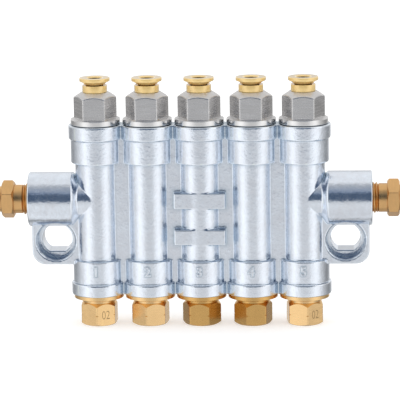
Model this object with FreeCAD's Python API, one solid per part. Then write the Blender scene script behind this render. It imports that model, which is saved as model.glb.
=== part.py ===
import FreeCAD, Part
import math
import os
from FreeCAD import Vector

# Five-outlet lubricant divider block: a die-cast manifold with push-in outlet fittings above,
# piston metering units below and an inlet fitting at each end of its cross gallery.
# Millimetres. +X runs along the gallery, +Z points up the outlets, -Y is the front.
# The origin lies under the middle outlet, on the plane of the metering units' lower ends.

# Layout
outlet_count = 5
outlet_pitch = 16.5
gallery_height = 40.7
gallery_radius = 2.0

# Manifold casting, heights measured from the gallery axis
body_top = 24.2
body_bottom = -31.1
top_ring_depth = 4.5
bottom_ring_depth = 4.0
upper_barrel_end = 12.0
lower_barrel_end = -19.3
ring_radius = 8.65
barrel_radius = 8.05
waist_radius = 6.75
web_half_depth = 3.35
edge_break = 0.5
pad_width = 16.15
pad_height = 4.6
pad_front = 6.8
pad_drop = 11.7

# End bosses and mounting lugs
boss_radius = 8.65
boss_length = 13.8
boss_reach = 54.7
boss_cone_length = 1.9
arm_radius = 6.45
lug_inset = 0.9
lug_width = 17.8
lug_bottom = -20.8
lug_front = -3.6
lug_corner_radius = 4.4
lug_hole_inset = 8.5
lug_hole_drop = 13.2
counterbore_radius = 6.2
counterbore_depth = 4.7
counterbore_chamfer = 0.4
head_way_in = 3.0
lug_hole_radius = 4.8
lug_hole_half_flat = 4.1

# Turned ends of the hexagonal bars
face_inset = 0.1
chamfer_run = 2.0

# Threaded ports
port_radius = 5.0
thread_clearance = 0.05
top_port_depth = 13.0
bottom_port_depth = 13.0
end_port_depth = 9.0
chamber_radius = 4.0
chamber_clearance = 0.1

# Outlet fitting
outlet_flange_radius = 7.9
outlet_flange_band = 1.75
outlet_bevel = 0.5
outlet_bevel_run = 0.9
outlet_hex_across_flats = 12.0
outlet_hex_height = 8.05
outlet_face_radius = 4.45
hex_chamfer_slope = math.radians(34)
outlet_stem_radius = 2.6
outlet_stem_end = -1.6
outlet_passage_radius = 1.2
tube_radius = 2.0
tube_clearance = 0.1
tube_stop_depth = 13.4
socket_radius = 3.4
socket_depth = 8.4

# Push-in parts above the tube stop
socket_clearance = 0.05
tube_seal_height = 2.0
grip_gap = 0.2
grip_ring_height = 1.0
grip_tooth_count = 6
grip_slot_width = 0.5
bush_head_radius = 3.95
bush_head_height = 2.25
bush_edge_break = 0.3
collar_radius = 4.85
collar_rim = 1.1
collar_top = 4.6
collar_sleeve_radius = 2.7
collar_clearance = 0.05
collar_cone_slope = 1.45
collar_mouth_chamfer = 0.5
collar_travel = 0.6
collar_end_gap = 0.3

# Check valve
valve_height = 3.4
valve_lift = 0.7
valve_stop_gap = 0.1
valve_clearance = 0.15
valve_seat_gap = 0.05
valve_skirt_depth = 1.6
valve_skirt_wall = 0.7
valve_crown_margin = 0.2

# Metering unit
unit_flange_radius = 7.7
unit_flange_band = 1.2
unit_cone_length = 0.8
unit_neck_radius = 5.5
unit_neck_length = 0.8
unit_hex_across_flats = 11.0
unit_hex_chamfer = 0.8
unit_notch_slope = 3.4
unit_notch_radius = 5.85
unit_turns = (26.7, 20.4, -6.5, 12.7, -20.7)
cylinder_radius = 3.0
cylinder_floor = 1.8
piston_clearance = 0.05
piston_length = 6.0
piston_stem_radius = 1.2
piston_stem_length = 2.8
piston_groove = 0.35
stop_ring_height = 0.8
stop_ring_depth = 1.4
stop_ring_bore = 2.0
stop_ring_clearance = 0.02
piston_rest_gap = 0.05
piston_stroke = 6.5
spring_wire_radius = 0.4
spring_wall_gap = 0.35
spring_turns = 5.0
spring_end_gap = 0.05

# Inlet fitting
inlet_thread_shown = 1.85
inlet_neck_radius = 4.58
inlet_neck_length = 2.2
inlet_hex_across_flats = 10.9
inlet_hex_length = 4.6
inlet_hex_chamfer = 0.6
inlet_hex_turn = 5.0
inlet_tube_radius = 3.0
inlet_tube_stop = 5.5
sleeve_radius = 4.1
sleeve_shown = 2.4
sleeve_seat_radius = 3.95
sleeve_seat_depth = 3.4

# Places worked out from the sizes above
outlet_places = [(index - (outlet_count - 1) / 2) * outlet_pitch for index in range(outlet_count)]
row_half = outlet_places[-1]
lug_reach = boss_reach - lug_inset
lug_inner_reach = lug_reach - lug_width
lug_hole_reach = boss_reach - lug_hole_inset
manifold_top = gallery_height + body_top
manifold_bottom = gallery_height + body_bottom
hex_top = manifold_top + outlet_flange_band + outlet_bevel + outlet_hex_height
socket_floor = hex_top - socket_depth
tube_bore_radius = tube_radius + tube_clearance
valve_bottom = gallery_height + outlet_stem_end - valve_stop_gap - valve_lift - valve_height
unit_top = valve_bottom - valve_seat_gap
stop_ring_top = unit_top - stop_ring_depth + stop_ring_height
piston_top = stop_ring_top - stop_ring_height - piston_rest_gap
spring_top = piston_top - piston_length - spring_end_gap
spring_bottom = cylinder_floor + spring_end_gap


def turned(points):
    """Solid turned about Z from an outline of (radius, height) points."""
    outline = [Vector(radius, 0, height) for radius, height in points]
    face = Part.Face(Part.makePolygon(outline + outline[:1]))
    return face.revolve(Vector(0, 0, 0), Vector(0, 0, 1), 360)


def rod(radius, low, high):
    return Part.makeCylinder(radius, high - low, Vector(0, 0, low))


def block(low_corner, high_corner):
    sizes = [high - low for low, high in zip(low_corner, high_corner)]
    return Part.makeBox(*sizes, Vector(*low_corner))


def hexagon(across_flats, low, high, turn):
    """Hexagonal bar along Z; at no turn a flat faces the front."""
    corner = across_flats / math.sqrt(3)
    angles = [math.radians(turn + 60 * step) for step in range(6)]
    ring = [Vector(corner * math.cos(a), corner * math.sin(a), low) for a in angles]
    face = Part.Face(Part.makePolygon(ring + ring[:1]))
    return face.extrude(Vector(0, 0, high - low))


def chamfered_hexagon(across_flats, low, high, turn, chamfer):
    """Hexagonal bar whose corners are turned off at both ends."""
    face = across_flats / 2 - face_inset
    outer = face + chamfer * chamfer_run
    limit = turned([
        (0, low), (face, low), (outer, low + chamfer), (outer, high - chamfer), (face, high), (0, high),
    ])
    return hexagon(across_flats, low, high, turn).common(limit)


def along_x(shape, side):
    """Lays a shape made along +Z down along +X or -X at the gallery's height."""
    shape.rotate(Vector(0, 0, 0), Vector(0, 1, 0), 90 * side)
    shape.translate(Vector(0, 0, gallery_height))
    return shape


def cast_barrel():
    """One cylinder of the casting, with a ring at each end and a waist between."""
    top_step = manifold_top - top_ring_depth
    low_step = manifold_bottom + bottom_ring_depth
    upper_end = gallery_height + upper_barrel_end
    lower_end = gallery_height + lower_barrel_end
    return turned([
        (0, manifold_bottom), (ring_radius - edge_break, manifold_bottom),
        (ring_radius, manifold_bottom + edge_break), (ring_radius, low_step),
        (barrel_radius, low_step + edge_break), (barrel_radius, lower_end - edge_break),
        (barrel_radius - edge_break, lower_end), (waist_radius, lower_end),
        (waist_radius, upper_end), (barrel_radius - edge_break, upper_end),
        (barrel_radius, upper_end + edge_break), (barrel_radius, top_step - edge_break),
        (ring_radius, top_step), (ring_radius, manifold_top - edge_break),
        (ring_radius - edge_break, manifold_top), (0, manifold_top),
    ])


def end_boss(side):
    """Boss for an inlet, with a cone down to the arm that meets the end barrel."""
    inner = boss_reach - boss_length
    boss = turned([
        (0, row_half), (arm_radius, row_half), (arm_radius, inner - boss_cone_length),
        (boss_radius, inner), (boss_radius, boss_reach - edge_break),
        (boss_radius - edge_break, boss_reach), (0, boss_reach),
    ])
    return along_x(boss, side)


def lug(side):
    """Mounting lug under a boss, flush with the back of the casting."""
    low = gallery_height + lug_bottom
    plate = block((lug_inner_reach, lug_front, low), (lug_reach, ring_radius, gallery_height))
    corner = [edge for edge in plate.Edges
              if abs(edge.CenterOfMass.x - lug_reach) < 1e-6 and abs(edge.CenterOfMass.z - low) < 1e-6]
    plate = plate.makeFillet(lug_corner_radius, corner)
    if side < 0:
        plate = plate.mirror(Vector(0, 0, 0), Vector(1, 0, 0))
    return plate


def lug_hole(side):
    """Counterbore with its way in under the boss, and a flat-sided hole through to the back."""
    mouth = counterbore_radius + counterbore_chamfer
    seat = turned([
        (0, -head_way_in), (counterbore_radius, -head_way_in), (counterbore_radius, 0), (mouth, 0),
        (counterbore_radius, counterbore_chamfer), (counterbore_radius, counterbore_depth),
        (0, counterbore_depth),
    ])
    through = ring_radius - lug_front + edge_break
    flats = block((-lug_hole_radius, -lug_hole_half_flat, 0), (lug_hole_radius, lug_hole_half_flat, through))
    tool = seat.fuse(rod(lug_hole_radius, 0, through).common(flats))
    tool.rotate(Vector(0, 0, 0), Vector(1, 0, 0), -90)
    tool.translate(Vector(side * lug_hole_reach, lug_front, gallery_height - lug_hole_drop))
    return tool


def label_pad(drop):
    middle = gallery_height - drop
    return block((-pad_width / 2, -pad_front, middle - pad_height / 2),
                 (pad_width / 2, 0, middle + pad_height / 2))


def outlet_bore():
    """Threaded port above, valve chamber, and threaded port below."""
    top = rod(port_radius, manifold_top - top_port_depth, manifold_top)
    chamber = rod(chamber_radius, manifold_bottom, manifold_top)
    bottom = rod(port_radius, manifold_bottom, manifold_bottom + bottom_port_depth)
    return top.fuse(chamber).fuse(bottom)


def manifold():
    """The casting with its ports, chambers, gallery and mounting holes."""
    barrels = []
    bores = []
    for place in outlet_places:
        for made, store in ((cast_barrel(), barrels), (outlet_bore(), bores)):
            made.translate(Vector(place, 0, 0))
            store.append(made)
    web = block((-row_half, -web_half_depth, manifold_bottom), (row_half, web_half_depth, manifold_top))
    body = web.fuse(barrels + [label_pad(0), label_pad(pad_drop)])
    for side in (-1, 1):
        body = body.fuse([end_boss(side), lug(side)])
    body = body.removeSplitter()
    gallery = along_x(rod(gallery_radius, -boss_reach, boss_reach), 1)
    ports = [along_x(rod(port_radius, boss_reach - end_port_depth, boss_reach), side) for side in (-1, 1)]
    holes = [lug_hole(side) for side in (-1, 1)]
    return body.cut(bores + [gallery] + ports + holes)


def outlet_fitting():
    """Steel fitting: threaded shank, bevelled flange, hexagon and push-in socket."""
    band_top = manifold_top + outlet_flange_band
    hex_low = band_top + outlet_bevel
    shank_end = manifold_top - top_port_depth
    stem_end = gallery_height + outlet_stem_end
    lower = turned([
        (0, stem_end), (outlet_stem_radius, stem_end), (outlet_stem_radius, shank_end),
        (port_radius - thread_clearance, shank_end), (port_radius - thread_clearance, manifold_top),
        (outlet_flange_radius, manifold_top), (outlet_flange_radius, band_top),
        (outlet_flange_radius - outlet_bevel_run, hex_low), (0, hex_low),
    ])
    corner = outlet_hex_across_flats / math.sqrt(3)
    chamfer_drop = (corner - outlet_face_radius) * math.tan(hex_chamfer_slope)
    limit = turned([
        (0, hex_low), (corner, hex_low), (corner, hex_top - chamfer_drop),
        (outlet_face_radius, hex_top), (0, hex_top),
    ])
    head = hexagon(outlet_hex_across_flats, hex_low, hex_top, 0).common(limit)
    bore = rod(socket_radius, socket_floor, hex_top)
    tube_bore = rod(tube_bore_radius, hex_top - tube_stop_depth, hex_top)
    passage = rod(outlet_passage_radius, stem_end, hex_top)
    return lower.fuse(head).cut(bore).cut(tube_bore).cut(passage)


def tube_seal():
    outer = socket_radius - socket_clearance
    top = socket_floor + tube_seal_height
    return rod(outer, socket_floor, top).cut(rod(tube_bore_radius, socket_floor, top))


def grip_ring():
    """Thin dished ring with slots between the teeth that hold the tube."""
    outer = socket_radius - socket_clearance
    low = socket_floor + tube_seal_height + grip_gap
    wall = grip_ring_height / 2
    inner = tube_bore_radius + grip_gap
    dish = turned([
        (inner, low), (inner + wall / 2, low), (outer, low + wall), (outer, low + grip_ring_height),
        (outer - wall, low + grip_ring_height), (inner, low + wall),
    ])
    reach = (inner + outer) / 2
    for tooth in range(grip_tooth_count):
        slot = block((0, -grip_slot_width / 2, low), (reach, grip_slot_width / 2, low + grip_ring_height))
        slot.rotate(Vector(0, 0, 0), Vector(0, 0, 1), 360 * tooth / grip_tooth_count)
        dish = dish.cut(slot)
    return dish


def bush_low():
    return socket_floor + tube_seal_height + 2 * grip_gap + grip_ring_height


def guide_bush():
    """Brass bush pressed into the socket; its mouth is flared to take the collar's cone."""
    bore = collar_sleeve_radius + collar_clearance
    head_top = hex_top + bush_head_height
    mouth = bore + collar_travel * collar_cone_slope
    return turned([
        (bore, bush_low()), (socket_radius - socket_clearance, bush_low()),
        (socket_radius - socket_clearance, hex_top), (bush_head_radius, hex_top),
        (bush_head_radius, head_top - bush_edge_break), (bush_head_radius - bush_edge_break, head_top),
        (mouth, head_top), (bore, head_top - collar_travel),
    ])


def release_collar():
    """Flared brass collar that is pushed down to free the tube."""
    head_top = hex_top + bush_head_height
    top = hex_top + collar_top
    rim_low = top - collar_rim
    flare_radius = collar_sleeve_radius + (rim_low - head_top) * collar_cone_slope
    sleeve_low = bush_low() + collar_travel + collar_end_gap
    rim_break = collar_rim / 4
    return turned([
        (tube_bore_radius, sleeve_low), (collar_sleeve_radius, sleeve_low),
        (collar_sleeve_radius, head_top), (flare_radius, rim_low),
        (collar_radius - rim_break, rim_low), (collar_radius, rim_low + rim_break),
        (collar_radius, top - rim_break), (collar_radius - rim_break, top),
        (tube_bore_radius + collar_mouth_chamfer, top), (tube_bore_radius, top - collar_mouth_chamfer),
    ])


def check_valve():
    """Rubber cup that covers the metering chamber and lifts against the outlet stem."""
    outer = chamber_radius - valve_clearance
    top = valve_bottom + valve_height
    skirt = outer - valve_skirt_wall
    crown = outlet_stem_radius + valve_crown_margin
    return turned([
        (0, valve_bottom + valve_skirt_depth), (skirt - valve_skirt_wall, valve_bottom + valve_skirt_depth),
        (skirt, valve_bottom), (outer, valve_bottom), (outer, top - valve_skirt_wall),
        (crown, top), (0, top),
    ])


def metering_body(turn):
    """Brass unit: shank and nose inside the casting, coned flange, neck and notched hexagon."""
    band_low = manifold_bottom - unit_flange_band
    cone_low = band_low - unit_cone_length
    hex_high = cone_low - unit_neck_length
    shank = port_radius - thread_clearance
    shank_top = manifold_bottom + bottom_port_depth
    nose = chamber_radius - chamber_clearance
    upper = turned([
        (0, hex_high), (unit_neck_radius - edge_break, hex_high), (unit_neck_radius - edge_break, cone_low),
        (unit_neck_radius, cone_low), (unit_flange_radius, band_low), (unit_flange_radius, manifold_bottom),
        (shank, manifold_bottom), (shank, shank_top), (nose, shank_top), (nose, unit_top), (0, unit_top),
    ])
    head = chamfered_hexagon(unit_hex_across_flats, 0, hex_high, turn, unit_hex_chamfer)
    middle = hex_high / 2
    outside = unit_hex_across_flats
    opening = (outside - unit_notch_radius) / unit_notch_slope
    notch = turned([(unit_notch_radius, middle), (outside, middle - opening), (outside, middle + opening)])
    cylinder = rod(cylinder_radius, cylinder_floor, unit_top)
    return upper.fuse(head.cut(notch)).cut(cylinder)


def stop_ring():
    """Ring pressed in above the piston, which keeps it in its cylinder."""
    outer = cylinder_radius - stop_ring_clearance
    low = stop_ring_top - stop_ring_height
    return rod(outer, low, stop_ring_top).cut(rod(stop_ring_bore, low, stop_ring_top))


def metering_piston():
    """Grooved piston with a stem that centres the spring."""
    outer = cylinder_radius - piston_clearance
    low = piston_top - piston_length
    middle = (low + piston_top) / 2
    return turned([
        (0, low - piston_stem_length), (piston_stem_radius, low - piston_stem_length),
        (piston_stem_radius, low), (outer, low), (outer, middle - piston_groove),
        (outer - piston_groove, middle - piston_groove), (outer - piston_groove, middle + piston_groove),
        (outer, middle + piston_groove), (outer, piston_top), (0, piston_top),
    ])


def return_spring():
    """Helical spring of hexagonal section between the piston and the cylinder's floor."""
    coil_radius = cylinder_radius - spring_wall_gap - spring_wire_radius
    low = spring_bottom + spring_wire_radius
    height = spring_top - spring_bottom - 2 * spring_wire_radius
    path = Part.makeHelix(height / spring_turns, height, coil_radius)
    corners = [Vector(coil_radius + spring_wire_radius * math.cos(math.radians(60 * step)), 0,
                      spring_wire_radius * math.sin(math.radians(60 * step))) for step in range(6)]
    section = Part.makePolygon(corners + corners[:1])
    spring = Part.Wire(path).makePipeShell([section], True, True)
    spring.translate(Vector(0, 0, low))
    return spring


def inlet_levels():
    """Distances from the middle of the block to the steps of an inlet fitting."""
    neck_start = boss_reach + inlet_thread_shown
    hex_start = neck_start + inlet_neck_length
    hex_end = hex_start + inlet_hex_length
    return neck_start, hex_start, hex_end


def inlet_fitting(side):
    """Brass side fitting: threaded end, neck, chamfered hexagon and tube socket."""
    neck_start, hex_start, hex_end = inlet_levels()
    thread = port_radius - thread_clearance
    thread_start = boss_reach - end_port_depth
    shank = turned([
        (0, thread_start), (thread, thread_start), (thread, neck_start),
        (inlet_neck_radius, neck_start), (inlet_neck_radius, hex_start), (0, hex_start),
    ])
    turn = inlet_hex_turn * side
    head = chamfered_hexagon(inlet_hex_across_flats, hex_start, hex_end, turn, inlet_hex_chamfer)
    passage = rod(gallery_radius, thread_start, hex_end)
    tube_bore = rod(inlet_tube_radius + tube_clearance, hex_end - inlet_tube_stop, hex_end)
    seat = rod(sleeve_seat_radius, hex_end - sleeve_seat_depth, hex_end)
    return along_x(shank.fuse(head).cut(passage).cut(tube_bore).cut(seat), side)


def inlet_sleeve(side):
    """Brass sleeve that grips the main-line tube in an inlet fitting."""
    hex_end = inlet_levels()[2]
    low = hex_end - sleeve_seat_depth
    top = hex_end + sleeve_shown
    inner = inlet_tube_radius + tube_clearance
    seat = sleeve_seat_radius - socket_clearance
    sleeve = turned([
        (inner, low), (seat, low), (seat, hex_end), (sleeve_radius, hex_end),
        (sleeve_radius, top - bush_edge_break), (sleeve_radius - bush_edge_break, top),
        (inner + bush_edge_break, top), (inner, top - bush_edge_break),
    ])
    return along_x(sleeve, side)


def save(name, shape):
    if not shape.isValid() or shape.Volume <= 0:
        raise ValueError(name + " is not a sound solid")
    shape.exportStep("parts/" + name + ".step")


def main():
    os.makedirs("parts", exist_ok=True)
    save("manifold_body", manifold())
    for number, place in enumerate(outlet_places, start=1):
        pieces = {
            "outlet_fitting": outlet_fitting(),
            "tube_seal": tube_seal(),
            "grip_ring": grip_ring(),
            "guide_bush": guide_bush(),
            "release_collar": release_collar(),
            "check_valve": check_valve(),
            "metering_body": metering_body(unit_turns[number - 1]),
            "stop_ring": stop_ring(),
            "metering_piston": metering_piston(),
            "return_spring": return_spring(),
        }
        for name, shape in pieces.items():
            shape.translate(Vector(place, 0, 0))
            save(name + "_" + str(number), shape)
    for side, word in ((-1, "left"), (1, "right")):
        save("inlet_fitting_" + word, inlet_fitting(side))
        save("inlet_sleeve_" + word, inlet_sleeve(side))


main()
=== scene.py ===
import math

import bmesh
import bpy
import numpy as np
from bpy.props import FloatProperty, FloatVectorProperty, PointerProperty
from mathutils import Matrix, Vector
from mathutils.bvhtree import BVHTree


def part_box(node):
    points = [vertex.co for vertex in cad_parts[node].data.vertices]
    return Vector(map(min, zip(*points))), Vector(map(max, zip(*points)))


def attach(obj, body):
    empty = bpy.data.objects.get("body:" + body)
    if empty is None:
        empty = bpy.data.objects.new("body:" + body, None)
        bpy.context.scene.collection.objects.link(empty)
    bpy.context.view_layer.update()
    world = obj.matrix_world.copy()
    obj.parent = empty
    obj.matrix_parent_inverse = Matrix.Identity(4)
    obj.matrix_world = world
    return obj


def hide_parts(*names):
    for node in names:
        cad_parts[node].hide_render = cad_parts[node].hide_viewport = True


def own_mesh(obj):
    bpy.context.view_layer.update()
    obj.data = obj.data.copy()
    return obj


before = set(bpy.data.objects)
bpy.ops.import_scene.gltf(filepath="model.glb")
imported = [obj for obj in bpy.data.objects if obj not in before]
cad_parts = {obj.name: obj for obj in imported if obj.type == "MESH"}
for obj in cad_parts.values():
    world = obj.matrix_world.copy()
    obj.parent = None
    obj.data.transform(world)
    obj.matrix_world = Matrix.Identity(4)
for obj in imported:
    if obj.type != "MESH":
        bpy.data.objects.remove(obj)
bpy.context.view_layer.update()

bl_info = {
    "name": "Lubricant divider block",
    "version": (1, 0, 0),
    "blender": (4, 5, 0),
    "location": "View3D > Sidebar > Divider",
    "description": "Dresses the packed divider block: casting, fittings, metering units and studio",
    "category": "Add Mesh",
}

OUTLETS = (1, 2, 3, 4, 5)
SIDES = ((-1, "left"), (1, "right"))
MM = 0.001


def node_middle(node, axis):
    """Middle of a CAD node's box along one axis."""
    low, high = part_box(node)
    return (low[axis] + high[axis]) / 2


# Heights and reaches read from the frame, in metres. The lower rings end just above the solid's.
BODY_LOW, BODY_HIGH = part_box("manifold_body")
GALLERY_HEIGHT = node_middle("inlet_fitting_left", 2)
PLACES = [node_middle(f"outlet_fitting_{number}", 0) for number in OUTLETS]
PITCH = PLACES[1] - PLACES[0]
ROW_HALF = PLACES[-1]
BOSS_REACH = BODY_HIGH.x
RING_RADIUS = BODY_HIGH.y
RING_LIFT = 0.0004
RING_BOTTOM = BODY_LOW.z + RING_LIFT
FITTING_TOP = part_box("guide_bush_1")[1].z
INLET_INNER = -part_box("inlet_fitting_left")[1].x
INLET_OUTER = -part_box("inlet_fitting_left")[0].x
SLEEVE_OUTER = -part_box("inlet_sleeve_left")[0].x
SLEEVE_INNER = -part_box("inlet_sleeve_left")[1].x


def length(label, value, about):
    return FloatProperty(name=label, description=about, default=value, min=0.0, unit="LENGTH", precision=5)


def colour(label, value, about):
    return FloatVectorProperty(name=label, description=about, default=value, min=0.0, max=1.0,
                               size=3, subtype="COLOR")


class CastingSizes(bpy.types.PropertyGroup):
    """Sizes of the die casting that its node's box doesn't give."""
    barrel_radius: length("Barrel radius", 0.00805, "Radius of the upper and lower barrels")
    waist_radius: length("Waist radius", 0.00675, "Radius of the barrels between the two")
    web_half_depth: length("Web half depth", 0.00335, "Half the depth of the web between the barrels")
    top_ring_depth: length("Top ring depth", 0.0045, "Depth of the ring under each outlet fitting")
    bottom_ring_depth: length("Bottom ring depth", 0.0040, "Depth of the ring over each metering unit")
    upper_barrel_end: length("Upper barrel end", 0.0120, "Lower end of the upper barrel above the gallery")
    lower_barrel_end: length("Lower barrel end", 0.0193, "Upper end of the lower barrel below the gallery")
    boss_length: length("Boss length", 0.0138, "Length of an end boss at its full radius")
    cone_length: length("Boss cone length", 0.0019, "Length of the cone from the boss to its arm")
    arm_radius: length("Arm radius", 0.00665, "Radius of the arm between boss and barrel")
    lug_reach: length("Lug reach", 0.0538, "Outer face of a lug from the middle")
    lug_inner_reach: length("Lug inner reach", 0.0360, "Inner face of a lug from the middle")
    lug_drop: length("Lug drop", 0.0208, "Lower edge of a lug below the gallery")
    lug_front: length("Lug front", 0.0036, "Front face of a lug before the outlet axes")
    lug_corner: length("Lug corner radius", 0.0044, "Radius of a lug's outer corner")
    hole_reach: length("Hole reach", 0.0462, "Mounting hole's axis from the middle")
    hole_drop: length("Hole drop", 0.0132, "Mounting hole's axis below the gallery")
    seat_radius: length("Counterbore radius", 0.0062, "Radius of a mounting hole's counterbore")
    seat_depth: length("Counterbore depth", 0.0047, "Depth of a mounting hole's counterbore")
    seat_chamfer: length("Counterbore chamfer", 0.0004, "Chamfer round the counterbore's mouth")
    hole_radius: length("Hole radius", 0.0048, "Radius of the through hole between its flats")
    hole_half_flat: length("Hole half flat", 0.0041, "Half the distance between the hole's flats")
    pad_width: length("Pad width", 0.01615, "Width of the two bare pads")
    pad_height: length("Pad height", 0.0050, "Height of the two bare pads")
    pad_front: length("Pad front", 0.0065, "Front face of the pads before the outlet axes")
    pad_drop: length("Pad drop", 0.0117, "Lower pad below the gallery")
    port_radius: length("Port radius", 0.0050, "Radius of the threaded ports")
    chamber_radius: length("Chamber radius", 0.0040, "Radius of the valve chambers")
    gallery_radius: length("Gallery radius", 0.0020, "Radius of the cross gallery")
    port_depth: length("Port depth", 0.0130, "Depth of the upper and lower ports")
    end_port_depth: length("End port depth", 0.0090, "Depth of the end ports")
    edge: length("Edge radius", 0.0004, "Rounding of the casting's outer edges")
    fillet: length("Fillet", 0.0003, "Blend where the forms of the casting meet")
    cell: length("Mesh cell", 0.00033, "Spacing of the casting's mesh")


class FittingSizes(bpy.types.PropertyGroup):
    """Sizes of the turned and hexagonal parts."""
    flange_radius: length("Outlet flange radius", 0.0079, "Radius of the outlet fitting's flange")
    flange_band: length("Outlet flange band", 0.00175, "Height of the flange's straight band")
    bevel: length("Outlet bevel", 0.0005, "Height of the bevel between flange and hexagon")
    bevel_run: length("Outlet bevel run", 0.0019, "How far the bevel runs in from the flange's edge")
    outlet_flats: length("Outlet spanner size", 0.0120, "Across flats of the outlet fitting")
    outlet_face_radius: length("Outlet top radius", 0.00445, "Radius of the flat ring on the outlet hexagon")
    bush_radius: length("Bush radius", 0.00395, "Radius of the guide bush's head")
    bush_height: length("Bush height", 0.00225, "Height of the guide bush's head")
    tube_bore: length("Tube bore radius", 0.0021, "Radius of the outlet tube's bore")
    collar_radius: length("Collar radius", 0.00485, "Radius of the release collar's flange")
    collar_rim: length("Collar rim", 0.0011, "Thickness of the release collar's rim")
    collar_sleeve: length("Collar sleeve radius", 0.0027, "Radius of the release collar's sleeve")
    unit_flange_radius: length("Unit flange radius", 0.00795, "Radius of the metering unit's flange")
    unit_band: length("Unit flange band", 0.0012, "Height of the metering flange's straight band")
    unit_cone: length("Unit cone length", 0.0008, "Height of the cone under the metering flange")
    unit_neck: length("Unit neck length", 0.0007, "Height of the neck over the metering hexagon")
    unit_flats: length("Unit spanner size", 0.01085, "Across flats of the metering unit")
    unit_chamfer: length("Unit chamfer", 0.0011, "Height of the metering hexagon's corner chamfer")
    inlet_flats: length("Inlet spanner size", 0.0109, "Across flats of the inlet fitting")
    inlet_neck_radius: length("Inlet neck radius", 0.00458, "Radius of the inlet fitting's neck")
    thread_shown: length("Thread shown", 0.0020, "Thread that shows between boss and neck")
    neck_length: length("Inlet neck length", 0.0027, "Length of the inlet fitting's neck")
    thread_pitch: length("Thread pitch", 0.0010, "Pitch of the inlet thread")
    inlet_bore: length("Inlet bore radius", 0.0031, "Radius of the inlet tube's bore")
    sleeve_radius: length("Sleeve radius", 0.0041, "Radius of the inlet sleeve's head")


class FinishColours(bpy.types.PropertyGroup):
    """Base colours of the finishes."""
    zinc: colour("Zinc", (0.82, 0.88, 0.965), "Die-cast zinc")
    steel: colour("Steel", (0.73, 0.72, 0.717), "Hexagons of the outlet fittings")
    flange_steel: colour("Flange steel", (0.80, 0.795, 0.795), "Turned flanges of the outlet fittings")
    collar_brass: colour("Collar brass", (1.0, 0.69, 0.28), "Release collars and guide bushes")
    unit_brass: colour("Unit brass", (0.87, 0.585, 0.285), "Metering units")
    aged_brass: colour("Darker unit brass", (0.68, 0.41, 0.145), "Darker metering units")
    inlet_brass: colour("Inlet brass", (0.76, 0.46, 0.20), "Inlet fittings")
    # Dark brass painted in the bores and at the collars' foot as shade
    greased_bore: colour("Greased bore", (0.26, 0.17, 0.06), "Bores and the mouths of the collars")
    # Near-black steel painted in the seam under each outlet flange as shade
    seam_grime: colour("Seam grime", (0.10, 0.10, 0.105), "Seams under the flanges")
    rubber: colour("Rubber", (0.03, 0.03, 0.03), "Seals and check valves")
    inner_steel: colour("Inner steel", (0.60, 0.60, 0.61), "Pistons, springs and rings")


# Shader node groups that several finishes share

def with_values(node, values):
    """The node with those input values. An underscore in a name stands for a space."""
    for label, value in values.items():
        node.inputs[label.replace("_", " ")].default_value = value
    return node


def add_node(tree, kind, **values):
    return with_values(tree.nodes.new("ShaderNode" + kind), values)


def shader_group(name, inputs, outputs):
    """Empty group with float inputs that have defaults, and float outputs."""
    group = bpy.data.node_groups.new(name, "ShaderNodeTree")
    for label, value in inputs:
        socket = group.interface.new_socket(name=label, in_out="INPUT", socket_type="NodeSocketFloat")
        socket.default_value = value
    for label in outputs:
        group.interface.new_socket(name=label, in_out="OUTPUT", socket_type="NodeSocketFloat")
    return group, group.nodes.new("NodeGroupInput"), group.nodes.new("NodeGroupOutput")


def math_node(tree, operation, first, second):
    """Result of an operation on two numbers or sockets."""
    node = add_node(tree, "Math")
    node.operation = operation
    for socket, value in zip(node.inputs, (first, second)):
        if isinstance(value, (int, float)):
            socket.default_value = value
        else:
            tree.links.new(value, socket)
    return node.outputs[0]


def make_cast_grain():
    """Soft mottling and fine pitting of a cast or tumbled surface."""
    group, entry, leave = shader_group("cast_grain", (("Scale", 900.0), ("Fine Scale", 5200.0)),
                                       ("Mottle", "Height"))
    place = add_node(group, "TexCoord")
    coarse = add_node(group, "TexNoise", Detail=4.0)
    fine = add_node(group, "TexNoise", Detail=2.0)
    for noise, scale in ((coarse, "Scale"), (fine, "Fine Scale")):
        group.links.new(place.outputs["Object"], noise.inputs["Vector"])
        group.links.new(entry.outputs[scale], noise.inputs["Scale"])
    coarse_share, fine_share = (math_node(group, "MULTIPLY", noise.outputs["Fac"], share)
                                for noise, share in ((coarse, 0.6), (fine, 0.4)))
    height = math_node(group, "ADD", coarse_share, fine_share)
    group.links.new(coarse.outputs["Fac"], leave.inputs["Mottle"])
    group.links.new(height, leave.inputs["Height"])
    return group


def make_tool_marks():
    """Fine lines round a turned part, or along a drawn bar, by how much each axis is stretched."""
    group, entry, leave = shader_group(
        "tool_marks", (("Across X", 300.0), ("Across Y", 300.0), ("Across Z", 9000.0)), ("Marks",))
    place = add_node(group, "TexCoord")
    stretch = add_node(group, "CombineXYZ")
    scaled = add_node(group, "VectorMath")
    scaled.operation = "MULTIPLY"
    noise = add_node(group, "TexNoise", Scale=1.0, Detail=3.0)
    for axis in "XYZ":
        group.links.new(entry.outputs["Across " + axis], stretch.inputs[axis])
    group.links.new(place.outputs["Object"], scaled.inputs[0])
    group.links.new(stretch.outputs[0], scaled.inputs[1])
    group.links.new(scaled.outputs[0], noise.inputs["Vector"])
    group.links.new(noise.outputs["Fac"], leave.inputs["Marks"])
    return group


def make_edge_wear():
    """Mask of worn outer edges."""
    group, entry, leave = shader_group("edge_wear", (("Sharpness", 6.0), ("Centre", 0.5)), ("Edge",))
    shape = add_node(group, "NewGeometry")
    offset = math_node(group, "SUBTRACT", shape.outputs["Pointiness"], entry.outputs["Centre"])
    limited = add_node(group, "Clamp")
    group.links.new(math_node(group, "MULTIPLY", offset, entry.outputs["Sharpness"]), limited.inputs["Value"])
    group.links.new(limited.outputs[0], leave.inputs["Edge"])
    return group


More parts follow.
